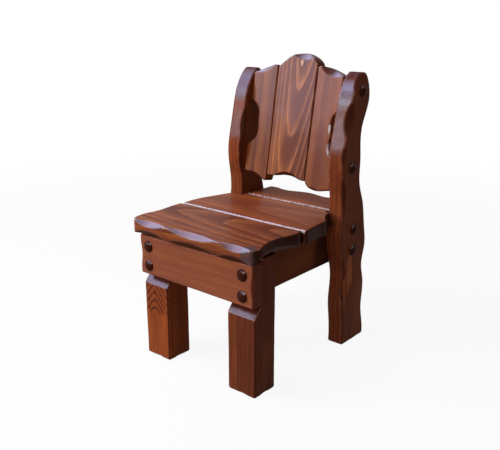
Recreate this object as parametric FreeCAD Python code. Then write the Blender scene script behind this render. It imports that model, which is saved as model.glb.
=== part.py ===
"""Rustic child's chair in solid pine, modelled piece by piece in millimetres.

The chair faces -Y, +X is at the right of someone who looks at its front, and +Z is up.
The origin lies on the floor, in the middle of the chair's width and depth.
Planks have hewn edges: their outlines wander, and a drawknife has scooped hollows off the corners.
"""

import FreeCAD
import Part

import math
import os

# Seat
SEAT_HEIGHT = 300.0
SEAT_WIDTH = 332.0
SEAT_DEPTH = 403.0
SEAT_THICKNESS = 28.0
FRONT_BOARD_DEPTH = 150.0
REAR_BOARD_STEP = 2.0
SEAT_SIDE_OVERHANG = 18.0
BOARD_GAP = 4.0
BOARD_LEFT_CORNER_RADIUS = 26.0
BOARD_RIGHT_CORNER_RADIUS = 14.0
BOARD_EDGE_ROUND = 3.5
BOARD_INNER_CORNER_RADIUS = 5.0
SEAT_EDGE_WAVE = 12.0
POST_NOTCH_CLEARANCE = 1.0

# Front legs
LEG_WIDTH = 67.0
LEG_DEPTH = 60.0
LEG_EDGE_ROUND = 4.0
FOOT_CHAMFER = 3.0
SHOULDER_DROP = 24.0

# Front apron, side rails and rear rail
APRON_HEIGHT = 82.5
APRON_SEAT_GAP = 6.5
APRON_THICKNESS = 28.0
APRON_PROUD = 6.5
SEAT_OVERHANG = 17.0
RAIL_THICKNESS = 28.0
RAIL_HEIGHT = 86.5
RAIL_TAIL = 16.0
RAIL_EDGE_ROUND = 3.0

# Back posts
POST_HEIGHT = 578.0
POST_SETBACK = 308.0
POST_STEP_OUT = 6.0
POST_THICKNESS = 37.5
POST_DEPTH = 89.0
POST_EDGE_ROUND = 4.0
POST_CORNER_RADIUS = 5.0

# Back slats
BACK_LEAN_DEGREES = 9.7
SLAT_THICKNESS = 28.0
SIDE_SLAT_RISE = 9.5
CENTRE_SLAT_RISE = 25.5
SLAT_GAP = 0.5
SLAT_POST_CLEARANCE = 0.3
SLAT_EDGE_ROUND = 2.5
SLAT_CORNER_RADIUS = 5.0
SEAT_TO_SLATS = 36.5
SLAT_FRONT_STEP = 9.75

# Seat cleats
CLEAT_WIDTH = 22.0
CLEAT_HEIGHT = 22.0
CLEAT_END_GAP = 3.0

# Screws under plugs
SCREW_DIAMETER = 6.0
SCREW_HEAD_DIAMETER = 11.0
SCREW_HEAD_HEIGHT = 3.5
SCREW_TIP_LENGTH = 6.0
APRON_SCREW_LENGTH = 44.0
RAIL_SCREW_LENGTH = 80.0
SLAT_SCREW_LENGTH = 60.0
COUNTERBORE_DEPTH = 14.0
APRON_SCREW_SPACING = 40.5
APRON_SCREW_LOW = 19.5
APRON_SCREW_INSET = 24.5
RAIL_SCREW_SPACING = 45.5
RAIL_SCREW_LOW = 27.5
REAR_RAIL_INSET = 29.0
LOWER_SLAT_SCREW_UP = 56.5
UPPER_SLAT_SCREW_DOWN = 44.0

# Cleat and seat screws
SMALL_SCREW_DIAMETER = 4.0
SMALL_HEAD_DIAMETER = 8.0
SMALL_HEAD_HEIGHT = 3.0
SMALL_TIP_LENGTH = 4.0
SMALL_COUNTERBORE = 4.0
CLEAT_SCREW_LENGTH = 32.0
SEAT_SCREW_LENGTH = 34.0
SEAT_SCREW_INSET = 17.0

# Domed wooden plugs
PLUG_DIAMETER = 23.0
PLUG_DOME = 6.5
PLUG_RIM = 1.2
PLUG_STEM_DIAMETER = 12.0
PLUG_STEM_END_GAP = 0.8

# Dowels
DOWEL_DIAMETER = 8.0
DOWEL_LENGTH = 40.0
DOWEL_END_GAP = 1.0
RAIL_DOWEL_LOW = 20.5
RAIL_DOWEL_SPACING = 44.0
LOWER_SLAT_DOWEL_UP = 83.5
UPPER_SLAT_DOWEL_DOWN = 67.0
SEAT_DOWEL_OFFSET = 30.0

# Hewn scoops, as length along the edge and depth
SEAT_SCOOP_DEPTH = 7.0
SEAT_UNDER_SCOOP_DEPTH = 6.5
SEAT_SIDE_SCOOP_LENGTH = 70.0
SEAT_SIDE_SCOOP_DEPTH = 4.0
SEAT_SIDE_UNDER_SCOOP_LENGTH = 112.0
SEAT_SIDE_UNDER_SCOOP_DEPTH = 9.0
POST_SCOOP_LENGTH = 74.0
POST_SCOOP_DEPTH = 8.5
APRON_SCOOP_LENGTH = 58.0
APRON_SCOOP_DEPTH = 3.5
SIDE_TOP_SCOOP_LENGTH = 66.0
SIDE_TOP_SCOOP_DEPTH = 9.5
CENTRE_TOP_SCOOP_LENGTH = 76.0
CENTRE_TOP_SCOOP_DEPTH = 10.0
SIDE_BOTTOM_SCOOP_LENGTH = 46.0
SIDE_BOTTOM_SCOOP_DEPTH = 3.5
ARCH_SCOOP_LENGTH = 54.0
ARCH_SCOOP_DEPTH = 5.5
FOOT_SCOOP_LENGTH = 44.0
FOOT_SCOOP_DEPTH = 3.0

# Clearances and cutting
HOLE_CLEARANCE = 0.1
HOLE_END_GAP = 1.0
OVERRUN = 2.0
PICK_TOLERANCE = 0.01

# Side edges of the seat boards: place along the board's depth, inset as a share of the wave.
# The front board's right edge ends in a cut corner.
FRONT_LEFT_SHARES = [
    (0.0, 0.75),
    (0.1, 0.6),
    (0.2, 0.42),
    (0.3, 0.28),
    (0.42, 0.24),
    (0.56, 0.3),
    (0.7, 0.3),
    (0.8, 0.1),
    (0.9, 0.0),
    (1.0, 0.02),
]
FRONT_RIGHT_SHARES = [
    (0.0, 0.3),
    (0.15, 0.0),
    (0.32, 0.45),
    (0.48, 0.83),
    (0.64, 0.88),
    (0.8, 0.62),
    (0.9, 0.46),
    (0.95, 0.75),
    (1.0, 1.17),
]
MIDDLE_LEFT_SHARES = [(0.0, 0.05), (0.16, 0.0), (0.32, 0.02), (0.45, 0.2), (0.55, 0.5)]
MIDDLE_RIGHT_SHARES = [(0.0, 0.25), (0.15, 0.44), (0.35, 0.76), (0.53, 0.78)]
# Inset of the front board's side edges at their scoops, as shares of the wave
LEFT_SIDE_SCOOP_SHARE = 0.3
RIGHT_SIDE_SCOOP_SHARE = 1.0
# Rear corners of the middle board: place on the way to the post, inset as a share of the step to the notch.
# The left corner follows the board to the post, and the right one is hewn hollow in front of it.
LEFT_CORNER_SHARES = [(0.68, 0.198), (0.79, 0.277), (0.91, 0.356), (1.0, 0.396)]
RIGHT_CORNER_SHARES = [(0.62, 0.3), (0.73, 0.51), (0.87, 0.71), (1.0, 0.755)]
# Back edge of the rear board: place across the board, drop as a share of the wave
REAR_EDGE_SHARES = [
    (0.0, 0.4),
    (0.09, 0.25),
    (0.2, 0.85),
    (0.3, 0.7),
    (0.41, 0.1),
    (0.52, 0.0),
    (0.66, 0.7),
    (0.8, 0.4),
    (1.0, 0.3),
]

# Post outline: share of the height, share of the foot's depth behind the foot's front
POST_FRONT_SHARES = [
    (0.0, 0.03),
    (0.1, 0.01),
    (0.18, -0.04),
    (0.27, 0.01),
    (0.35, -0.11),
    (0.45, -0.2),
    (0.54, -0.12),
    (0.62, -0.17),
    (0.69, -0.22),
    (0.76, -0.15),
    (0.84, -0.03),
    (0.91, 0.08),
    (0.965, 0.26),
    (0.995, 0.44),
]
POST_CROWN_SHARES = [(0.995, 0.44), (1.0, 0.52), (0.99, 0.64)]
POST_BACK_TOP_SHARES = [(0.99, 0.64), (0.965, 0.73), (0.91, 0.78)]
LEFT_HOLLOW_SHARES = [(0.86, 0.69), (0.81, 0.595), (0.7, 0.6), (0.61, 0.61)]
RIGHT_HOLLOW_SHARES = [(0.86, 0.67), (0.81, 0.53), (0.7, 0.53), (0.61, 0.55)]
POST_BACK_LOW_SHARES = [
    (0.54, 0.73),
    (0.46, 0.83),
    (0.36, 0.905),
    (0.305, 0.81),
    (0.22, 0.92),
    (0.12, 0.89),
    (0.04, 0.985),
    (0.0, 1.0),
]
# Scoops on the posts' front corners: shares of the height, and of the largest scoop's length and depth.
# The left post has them on its inner corner and the right post on its outer one.
LEFT_POST_SCOOP_SHARES = [(0.6, 0.85, 0.25), (0.727, 0.8, 0.3), (0.84, 0.85, 0.4)]
RIGHT_POST_SCOOP_SHARES = [(0.25, 1.0, 0.45), (0.565, 1.0, 0.6), (0.74, 0.75, 0.5), (0.865, 1.0, 1.0)]

# The centre slat's share of the width between the posts
CENTRE_SLAT_SHARE = 0.4346

# Slat outlines: share across from the inner to the outer side, share of the side slat's height
SIDE_TOP_SHARES = [(0.0, 0.995), (0.25, 0.997), (0.55, 0.975), (0.8, 0.95), (1.0, 0.925)]
LEFT_BOTTOM_SHARES = [
    (1.0, 0.071),
    (0.83, 0.068),
    (0.66, 0.063),
    (0.53, 0.054),
    (0.39, 0.041),
    (0.2, 0.018),
    (0.08, 0.012),
    (0.0, 0.03),
]
RIGHT_BOTTOM_SHARES = [
    (1.0, 0.027),
    (0.855, 0.018),
    (0.7, 0.008),
    (0.5, 0.0),
    (0.35, 0.0),
    (0.2, 0.01),
    (0.08, 0.032),
    (0.0, 0.055),
]
# The waist of the outer edge: shares of the side slat's height and of its width
LEFT_WAIST_SHARES = [
    (0.685, 0.0),
    (0.655, 0.22),
    (0.62, 0.33),
    (0.53, 0.38),
    (0.43, 0.4),
    (0.365, 0.31),
    (0.33, 0.12),
    (0.3, 0.0),
]
RIGHT_WAIST_SHARES = [
    (0.66, 0.0),
    (0.63, 0.15),
    (0.595, 0.23),
    (0.53, 0.25),
    (0.46, 0.2),
    (0.4, 0.26),
    (0.35, 0.25),
    (0.3, 0.12),
    (0.27, 0.0),
]
# Depth of the side slats' top scoops, as shares of the deeper one
LEFT_TOP_SCOOP_SHARE = 0.7
RIGHT_TOP_SCOOP_SHARE = 1.0
# Centre slat: share of the half width, share of the slat's height
CENTRE_TOP_SHARES = [
    (-1.0, 0.895),
    (-0.68, 0.941),
    (-0.4, 0.974),
    (0.0, 0.997),
    (0.25, 1.0),
    (0.58, 0.983),
    (0.83, 0.957),
    (1.0, 0.926),
]
CENTRE_BOTTOM_SHARES = [
    (1.0, 0.0545),
    (0.72, 0.06),
    (0.4, 0.071),
    (0.05, 0.0775),
    (-0.4, 0.071),
    (-0.72, 0.06),
    (-1.0, 0.0545),
]
# Places of the three scoops along the seat's front edge, with their lengths, as shares of the seat's width
SEAT_SCOOP_SHARES = [(-0.31, 0.295), (0.038, 0.4), (0.356, 0.24)]

# Levels and places worked out from the sizes above
SEAT_UNDERSIDE = SEAT_HEIGHT - SEAT_THICKNESS
FRONT_Y = -SEAT_DEPTH / 2
BACK_Y = SEAT_DEPTH / 2
APRON_FRONT_Y = FRONT_Y + SEAT_OVERHANG
APRON_BACK_Y = APRON_FRONT_Y + APRON_THICKNESS
APRON_TOP = SEAT_UNDERSIDE - APRON_SEAT_GAP
APRON_BOTTOM = APRON_TOP - APRON_HEIGHT
LEG_FRONT_Y = APRON_FRONT_Y + APRON_PROUD
LEG_BACK_Y = LEG_FRONT_Y + LEG_DEPTH
LEG_OUTER_X = SEAT_WIDTH / 2 - SEAT_SIDE_OVERHANG
LEG_INNER_X = LEG_OUTER_X - LEG_WIDTH
RAIL_BOTTOM = SEAT_UNDERSIDE - RAIL_HEIGHT
POST_OUTER_X = LEG_OUTER_X + POST_STEP_OUT
POST_INNER_X = POST_OUTER_X - POST_THICKNESS
POST_FOOT_Y = FRONT_Y + POST_SETBACK
RAIL_OUTER_X = POST_INNER_X
RAIL_INNER_X = RAIL_OUTER_X - RAIL_THICKNESS
RAIL_MIDDLE_X = RAIL_OUTER_X - RAIL_THICKNESS / 2
REAR_RAIL_Y = POST_FOOT_Y + REAR_RAIL_INSET
REAR_RAIL_FRONT_Y = REAR_RAIL_Y - RAIL_THICKNESS / 2
RAIL_END_Y = REAR_RAIL_Y + RAIL_THICKNESS / 2 + RAIL_TAIL
FRONT_BOARD_BACK_Y = FRONT_Y + FRONT_BOARD_DEPTH
MIDDLE_BOARD_FRONT_Y = FRONT_BOARD_BACK_Y + BOARD_GAP
REAR_BOARD_FRONT_Y = POST_FOOT_Y + REAR_BOARD_STEP
MIDDLE_BOARD_BACK_Y = REAR_BOARD_FRONT_Y - BOARD_GAP
NOTCH_X = POST_INNER_X - POST_NOTCH_CLEARANCE
SLAT_BOTTOM = SEAT_HEIGHT + SEAT_TO_SLATS
SLAT_FRONT_Y = POST_FOOT_Y - SLAT_FRONT_STEP
SIDE_SLAT_OUTER_X = POST_INNER_X - SLAT_POST_CLEARANCE
LEAN_COSINE = math.cos(math.radians(BACK_LEAN_DEGREES))
SIDE_SLAT_HEIGHT = (POST_HEIGHT + SIDE_SLAT_RISE - SLAT_BOTTOM) / LEAN_COSINE
SLAT_HEIGHT = SIDE_SLAT_HEIGHT + CENTRE_SLAT_RISE
CENTRE_HALF = CENTRE_SLAT_SHARE * SIDE_SLAT_OUTER_X
SIDE_SLAT_INNER_X = CENTRE_HALF + SLAT_GAP
SIDE_SLAT_WIDTH = SIDE_SLAT_OUTER_X - SIDE_SLAT_INNER_X
CLEAT_INNER_X = RAIL_INNER_X - CLEAT_WIDTH
CLEAT_BOTTOM = SEAT_UNDERSIDE - CLEAT_HEIGHT
CLEAT_FRONT_Y = LEG_BACK_Y + CLEAT_END_GAP
CLEAT_BACK_Y = REAR_RAIL_FRONT_Y - CLEAT_END_GAP

RIGHT = 1
LEFT = -1
X_AXIS = FreeCAD.Vector(1, 0, 0)
Y_AXIS = FreeCAD.Vector(0, 1, 0)
Z_AXIS = FreeCAD.Vector(0, 0, 1)


def point(x, y, z):
    return FreeCAD.Vector(x, y, z)


def stretch(points):
    """A straight edge through two points, or a smooth curve through more."""
    if len(points) == 2:
        return Part.makeLine(points[0], points[1])
    curve = Part.BSplineCurve()
    curve.interpolate(points)
    return curve.toShape()


def plank(stretches, thickness):
    """A solid with the outline that the stretches make, as thick as the given vector."""
    outline = Part.Wire([stretch(points) for points in stretches])
    return Part.Face(outline).extrude(thickness)


def box(low, high):
    size = high.sub(low)
    return Part.makeBox(size.x, size.y, size.z, low)


def edges_where(shape, test):
    """The edges of a shape whose ends and middle all pass a test on a point."""
    found = []
    for edge in shape.Edges:
        middle = edge.valueAt((edge.FirstParameter + edge.LastParameter) / 2)
        places = [vertex.Point for vertex in edge.Vertexes] + [middle]
        if all(test(place) for place in places):
            found.append(edge)
    return found


def at(value, level):
    return abs(value - level) < PICK_TOLERANCE


def edges_along(shape, axis):
    """The straight edges of a shape that run along an axis."""
    found = []
    for edge in shape.Edges:
        tangent = edge.tangentAt(edge.FirstParameter)
        if edge.Curve.TypeId == "Part::GeomLine" and at(abs(tangent.dot(axis)), 1):
            found.append(edge)
    return found


def eased(shape, axis, levels, corner_radius, edge_round):
    """A plank with its corners rounded along an axis, and then the rims of its faces at some levels."""
    shape = shape.makeFillet(corner_radius, edges_along(shape, axis))
    rims = [edge for level in levels for edge in edges_where(shape, lambda p: at(p.dot(axis), level))]
    return shape.makeFillet(edge_round, rims)


def scoop(middle, along, outward, length, depth):
    """The cutter for one drawknife hollow in an edge that runs along a direction."""
    radius = (length ** 2 / 4 + depth ** 2) / (2 * depth)
    reach = 3 * depth
    out = FreeCAD.Vector(outward).normalize()
    axis = FreeCAD.Vector(along).cross(out).normalize()
    centre = middle + out * (radius - depth)
    return Part.makeCylinder(radius, 2 * reach, centre - axis * reach, axis)


def drill(start, direction, diameter, depth):
    """The cutter for a hole, a little wider than what goes in it."""
    radius = diameter / 2 + HOLE_CLEARANCE
    back = start - direction * OVERRUN
    return Part.makeCylinder(radius, depth + OVERRUN, back, direction)


def blind(start, direction, diameter, depth):
    """The cutter for a hole that starts inside the wood, with nothing cut behind its start."""
    return Part.makeCylinder(diameter / 2 + HOLE_CLEARANCE, depth, start, direction)


def turned(outline, start, direction):
    """A turned solid from an outline of (radius, height) edges, set at a start along a direction."""
    face = Part.Face(Part.Wire(outline))
    solid = face.revolve(point(0, 0, 0), Z_AXIS, 360)
    solid.Placement = FreeCAD.Placement(start, FreeCAD.Rotation(Z_AXIS, direction))
    return solid


def mirrored(shape):
    return shape.mirror(point(0, 0, 0), X_AXIS)


class Fastener:
    """A screw sunk in a counterbore: it starts on a face and is driven along a direction."""

    def __init__(self, start, direction, length, small=False):
        self.start = start
        self.direction = direction
        self.length = length
        self.diameter = SMALL_SCREW_DIAMETER if small else SCREW_DIAMETER
        self.head_diameter = SMALL_HEAD_DIAMETER if small else SCREW_HEAD_DIAMETER
        self.head_height = SMALL_HEAD_HEIGHT if small else SCREW_HEAD_HEIGHT
        self.tip_length = SMALL_TIP_LENGTH if small else SCREW_TIP_LENGTH
        self.bore_diameter = SMALL_HEAD_DIAMETER if small else PLUG_STEM_DIAMETER
        self.bore_depth = SMALL_COUNTERBORE if small else COUNTERBORE_DEPTH

    def seat(self):
        """Where the underside of the head sits."""
        return self.start + self.direction * self.bore_depth

    def cutters(self):
        """The counterbore and the hole for the shank."""
        bore = drill(self.start, self.direction, self.bore_diameter, self.bore_depth)
        shank = blind(self.seat(), self.direction, self.diameter, self.length + HOLE_END_GAP)
        return [bore, shank]

    def screw(self):
        """Flat head with a hexagon socket, shank and pointed tip."""
        head = self.head_diameter / 2
        shank = self.diameter / 2
        neck = self.length - self.tip_length
        corners = [
            point(0, 0, -self.head_height),
            point(head, 0, -self.head_height),
            point(head, 0, 0),
            point(shank, 0, 0),
            point(shank, 0, neck),
            point(0, 0, self.length),
        ]
        outline = Part.makePolygon(corners + corners[:1]).Edges
        solid = turned(outline, self.seat(), self.direction)
        return solid.cut(self.socket())

    def socket(self):
        """The hexagon socket in the head."""
        reach = self.diameter / 2
        sides = 6
        turns = [2 * math.pi * side / sides for side in range(sides + 1)]
        corners = [point(reach * math.cos(turn), reach * math.sin(turn), -self.head_height) for turn in turns]
        hexagon = Part.Face(Part.makePolygon(corners))
        solid = hexagon.extrude(Z_AXIS * (self.head_height / 2))
        solid.Placement = FreeCAD.Placement(self.seat(), FreeCAD.Rotation(Z_AXIS, self.direction))
        return solid

    def plug(self):
        """The domed cap that hides the screw: a stem in the counterbore under a wider mushroom head."""
        stem = PLUG_STEM_DIAMETER / 2
        rim = PLUG_DIAMETER / 2
        bottom = self.bore_depth - self.head_height - PLUG_STEM_END_GAP
        crown_radius = (rim ** 2 + PLUG_DOME ** 2) / (2 * PLUG_DOME)
        half_turn = math.asin(rim / crown_radius) / 2
        base = PLUG_RIM
        crown_middle = point(
            crown_radius * math.sin(half_turn),
            0,
            base + PLUG_DOME - crown_radius * (1 - math.cos(half_turn)),
        )
        top = point(0, 0, base + PLUG_DOME)
        corners = [
            top,
            point(0, 0, -bottom),
            point(stem, 0, -bottom),
            point(stem, 0, 0),
            point(rim, 0, 0),
            point(rim, 0, base),
        ]
        outline = [Part.makeLine(a, b) for a, b in zip(corners, corners[1:])]
        outline.append(Part.Arc(corners[-1], crown_middle, top).toShape())
        return turned(outline, self.start, self.direction * -1)


class Dowel:
    """A wooden dowel with its middle on the face where two pieces meet."""

    def __init__(self, middle, direction):
        self.middle = middle
        self.direction = direction

    def cutter(self):
        length = DOWEL_LENGTH + 2 * DOWEL_END_GAP
        return blind(self.middle - self.direction * (length / 2), self.direction, DOWEL_DIAMETER, length)

    def solid(self):
        start = self.middle - self.direction * (DOWEL_LENGTH / 2)
        pin = Part.makeCylinder(DOWEL_DIAMETER / 2, DOWEL_LENGTH, start, self.direction)
        return pin.makeChamfer(DOWEL_END_GAP, pin.Edges[:1] + pin.Edges[2:])


def lean_back(shape):
    """Carries a shape from the upright frame of the slats to its leaning place."""
    turn = FreeCAD.Rotation(X_AXIS, -BACK_LEAN_DEGREES)
    shape.Placement = FreeCAD.Placement(point(0, SLAT_FRONT_Y, SLAT_BOTTOM), turn)
    return shape


def on_slats(x, back, up):
    """The place that a point of the upright frame of the slats has on the chair."""
    turn = FreeCAD.Rotation(X_AXIS, -BACK_LEAN_DEGREES)
    return turn.multVec(point(x, back, up)) + point(0, SLAT_FRONT_Y, SLAT_BOTTOM)


# Where the fasteners and dowels go


def apron_fasteners():
    x = LEG_OUTER_X - APRON_SCREW_INSET
    low = APRON_BOTTOM + APRON_SCREW_LOW
    levels = [low, low + APRON_SCREW_SPACING]
    return [
        Fastener(point(side * x, APRON_FRONT_Y, level), Y_AXIS, APRON_SCREW_LENGTH)
        for side in (LEFT, RIGHT)
        for level in levels
    ]


def rail_fasteners(side):
    """Through a back post and its side rail into the end of the rear rail."""
    low = RAIL_BOTTOM + RAIL_SCREW_LOW
    levels = [low, low + RAIL_SCREW_SPACING]
    return [
        Fastener(point(side * POST_OUTER_X, REAR_RAIL_Y, level), X_AXIS * -side, RAIL_SCREW_LENGTH)
        for level in levels
    ]


def slat_fasteners(side):
    """Through a back post into the edge of a side slat."""
    found = []
    for up in (LOWER_SLAT_SCREW_UP, SIDE_SLAT_HEIGHT - UPPER_SLAT_SCREW_DOWN):
        start = on_slats(side * POST_OUTER_X, SLAT_THICKNESS / 2, up)
        found.append(Fastener(start, X_AXIS * -side, SLAT_SCREW_LENGTH))
    return found


def cleat_fasteners(side):
    """Through a cleat into the side rail, between the screws that hold the seat."""
    level = CLEAT_BOTTOM + CLEAT_HEIGHT / 2
    holds = [fastener.start.y for fastener in seat_fasteners(side)]
    stops = [CLEAT_FRONT_Y] + holds + [CLEAT_BACK_Y]
    middles = [(a + b) / 2 for a, b in zip(stops, stops[1:])]
    return [
        Fastener(point(side * CLEAT_INNER_X, y, level), X_AXIS * side, CLEAT_SCREW_LENGTH, small=True)
        for y in (middles[0], middles[2])
    ]


def seat_fasteners(side):
    """Up through a cleat into the front and middle boards."""
    x = CLEAT_INNER_X + CLEAT_WIDTH / 2
    places = [
        FRONT_BOARD_BACK_Y - SEAT_SCREW_INSET,
        MIDDLE_BOARD_FRONT_Y + SEAT_SCREW_INSET,
        MIDDLE_BOARD_BACK_Y - SEAT_SCREW_INSET,
    ]
    return [Fastener(point(side * x, y, CLEAT_BOTTOM), Z_AXIS, SEAT_SCREW_LENGTH, small=True) for y in places]


def rail_dowels(side):
    low = RAIL_BOTTOM + RAIL_DOWEL_LOW
    levels = [low, low + RAIL_DOWEL_SPACING]
    return [Dowel(point(side * RAIL_MIDDLE_X, LEG_BACK_Y, level), Y_AXIS) for level in levels]


def slat_dowels(side):
    x = side * (CENTRE_HALF + SLAT_GAP / 2)
    ups = (LOWER_SLAT_DOWEL_UP, SIDE_SLAT_HEIGHT - UPPER_SLAT_DOWEL_DOWN)
    return [Dowel(on_slats(x, SLAT_THICKNESS / 2, up), X_AXIS) for up in ups]


def front_seat_dowel(side):
    x = side * (LEG_INNER_X + LEG_WIDTH / 2)
    y = (APRON_BACK_Y + LEG_BACK_Y) / 2
    return Dowel(point(x, y, SEAT_UNDERSIDE), Z_AXIS)


def rear_seat_dowel(side):
    return Dowel(point(side * SEAT_DOWEL_OFFSET, REAR_RAIL_Y, SEAT_UNDERSIDE), Z_AXIS)


def drilled(shape, fasteners=(), dowels=()):
    """A shape with the holes of its screws and dowels."""
    cutters = [cutter for fastener in fasteners for cutter in fastener.cutters()]
    cutters += [dowel.cutter() for dowel in dowels]
    return shape.cut(cutters) if cutters else shape


# The frame


def foot_scoops():
    """The hollows under the lower edges of the right front leg."""
    x = LEG_INNER_X + LEG_WIDTH / 2
    y = LEG_FRONT_Y + LEG_DEPTH / 2
    places = [
        (point(x, LEG_FRONT_Y, 0), X_AXIS, Y_AXIS * -1),
        (point(x, LEG_BACK_Y, 0), X_AXIS, Y_AXIS),
        (point(LEG_OUTER_X, y, 0), Y_AXIS, X_AXIS),
        (point(LEG_INNER_X, y, 0), Y_AXIS, X_AXIS * -1),
    ]
    return [
        scoop(middle, along, out - Z_AXIS, FOOT_SCOOP_LENGTH, FOOT_SCOOP_DEPTH)
        for middle, along, out in places
    ]


def front_leg(side):
    """Square leg with a notch for the apron and a sloping shoulder under it."""
    low = point(LEG_INNER_X, LEG_FRONT_Y, 0)
    leg = box(low, point(LEG_OUTER_X, LEG_BACK_Y, SEAT_UNDERSIDE))
    leg = leg.makeFillet(LEG_EDGE_ROUND, edges_along(leg, Z_AXIS))
    leg = leg.makeChamfer(FOOT_CHAMFER, edges_where(leg, lambda p: at(p.z, 0)))
    front = LEG_FRONT_Y - OVERRUN
    slope = SHOULDER_DROP / (APRON_THICKNESS - APRON_PROUD)
    corners = [
        point(LEG_INNER_X - OVERRUN, front, APRON_BOTTOM - SHOULDER_DROP - OVERRUN * slope),
        point(LEG_INNER_X - OVERRUN, APRON_BACK_Y, APRON_BOTTOM),
        point(LEG_INNER_X - OVERRUN, APRON_BACK_Y, SEAT_UNDERSIDE + OVERRUN),
        point(LEG_INNER_X - OVERRUN, front, SEAT_UNDERSIDE + OVERRUN),
    ]
    notch = Part.Face(Part.makePolygon(corners + corners[:1])).extrude(X_AXIS * (LEG_WIDTH + 2 * OVERRUN))
    leg = leg.cut([notch] + foot_scoops())
    if side == LEFT:
        leg = mirrored(leg)
    fasteners = [fastener for fastener in apron_fasteners() if fastener.start.x * side > 0]
    return drilled(leg, fasteners, rail_dowels(side) + [front_seat_dowel(side)])


def front_apron():
    """Plank across the legs' notches, with scooped ends."""
    low = point(-LEG_OUTER_X, APRON_FRONT_Y, APRON_BOTTOM)
    apron = box(low, point(LEG_OUTER_X, APRON_BACK_Y, APRON_TOP))
    front = edges_where(apron, lambda p: at(p.y, APRON_FRONT_Y))
    apron = apron.makeFillet(RAIL_EDGE_ROUND, front)
    level = APRON_BOTTOM + APRON_HEIGHT / 2
    scoops = [
        scoop(
            point(side * LEG_OUTER_X, APRON_FRONT_Y, level),
            Z_AXIS,
            point(side, -1, 0),
            APRON_SCOOP_LENGTH,
            APRON_SCOOP_DEPTH,
        )
        for side in (LEFT, RIGHT)
    ]
    return drilled(apron.cut(scoops), apron_fasteners())


def side_rail(side):
    """Rail from the back of a front leg along the inner face of a back post."""
    low = point(RAIL_INNER_X, LEG_BACK_Y, RAIL_BOTTOM)
    rail = box(low, point(RAIL_OUTER_X, RAIL_END_Y, SEAT_UNDERSIDE))
    lower = edges_where(rail, lambda p: at(p.z, RAIL_BOTTOM) and p.y > LEG_BACK_Y)
    rail = rail.makeFillet(RAIL_EDGE_ROUND, lower)
    if side == LEFT:
        rail = mirrored(rail)
    return drilled(rail, rail_fasteners(side) + cleat_fasteners(side), rail_dowels(side))


def rear_rail():
    low = point(-RAIL_INNER_X, REAR_RAIL_FRONT_Y, RAIL_BOTTOM)
    rail = box(low, point(RAIL_INNER_X, REAR_RAIL_Y + RAIL_THICKNESS / 2, SEAT_UNDERSIDE))
    dowels = [rear_seat_dowel(side) for side in (LEFT, RIGHT)]
    return drilled(rail, rail_fasteners(LEFT) + rail_fasteners(RIGHT), dowels)


def post_place(x, shares):
    height_share, depth_share = shares
    return point(x, POST_FOOT_Y + depth_share * POST_DEPTH, height_share * POST_HEIGHT)


def post_front_at(level):
    """How far back the front of a post is at a level."""
    edge = stretch([post_place(0, shares) for shares in POST_FRONT_SHARES])
    ruler = Part.makeLine(point(0, FRONT_Y, level), point(0, BACK_Y, level))
    return edge.distToShape(ruler)[1][0][0].y


def post_front_beside_seat():
    """How far forward a post comes beside the seat boards."""
    steps = 12
    levels = [SEAT_UNDERSIDE + SEAT_THICKNESS * step / steps for step in range(steps + 1)]
    return min(post_front_at(level) for level in levels)


def back_post(side):
    """Wandering plank on edge, from the floor to beside the top of the slats."""
    front = [post_place(POST_INNER_X, shares) for shares in POST_FRONT_SHARES]
    crown = [post_place(POST_INNER_X, shares) for shares in POST_CROWN_SHARES]
    hollow = LEFT_HOLLOW_SHARES if side == LEFT else RIGHT_HOLLOW_SHARES
    scoop_shares = LEFT_POST_SCOOP_SHARES if side == LEFT else RIGHT_POST_SCOOP_SHARES
    back_shares = POST_BACK_TOP_SHARES + hollow + POST_BACK_LOW_SHARES
    back = [post_place(POST_INNER_X, shares) for shares in back_shares]
    post = plank([front, crown, back, [back[-1], front[0]]], X_AXIS * POST_THICKNESS)
    post = eased(post, X_AXIS, (POST_INNER_X, POST_OUTER_X), POST_CORNER_RADIUS, POST_EDGE_ROUND)
    scooped_x = POST_INNER_X if side == LEFT else POST_OUTER_X
    scoops = []
    for height_share, length_share, depth_share in scoop_shares:
        level = height_share * POST_HEIGHT
        middle = point(scooped_x, post_front_at(level), level)
        length = length_share * POST_SCOOP_LENGTH
        depth = depth_share * POST_SCOOP_DEPTH
        scoops.append(scoop(middle, Z_AXIS, X_AXIS * side - Y_AXIS, length, depth))
    post = post.cut(scoops)
    if side == LEFT:
        post = mirrored(post)
    return drilled(post, rail_fasteners(side) + slat_fasteners(side))


# The seat


def seat_edge(shares, front, depth, side):
    """Points of a seat board's hewn side edge, from front to back."""
    half = SEAT_WIDTH / 2
    return [
        point(side * (half - inset_share * SEAT_EDGE_WAVE), front + place_share * depth, SEAT_UNDERSIDE)
        for place_share, inset_share in shares
    ]


def eased_board(board):
    """A seat board with its corners and its top edges rounded over."""
    return eased(board, Z_AXIS, (SEAT_HEIGHT,), BOARD_INNER_CORNER_RADIUS, BOARD_EDGE_ROUND)


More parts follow.
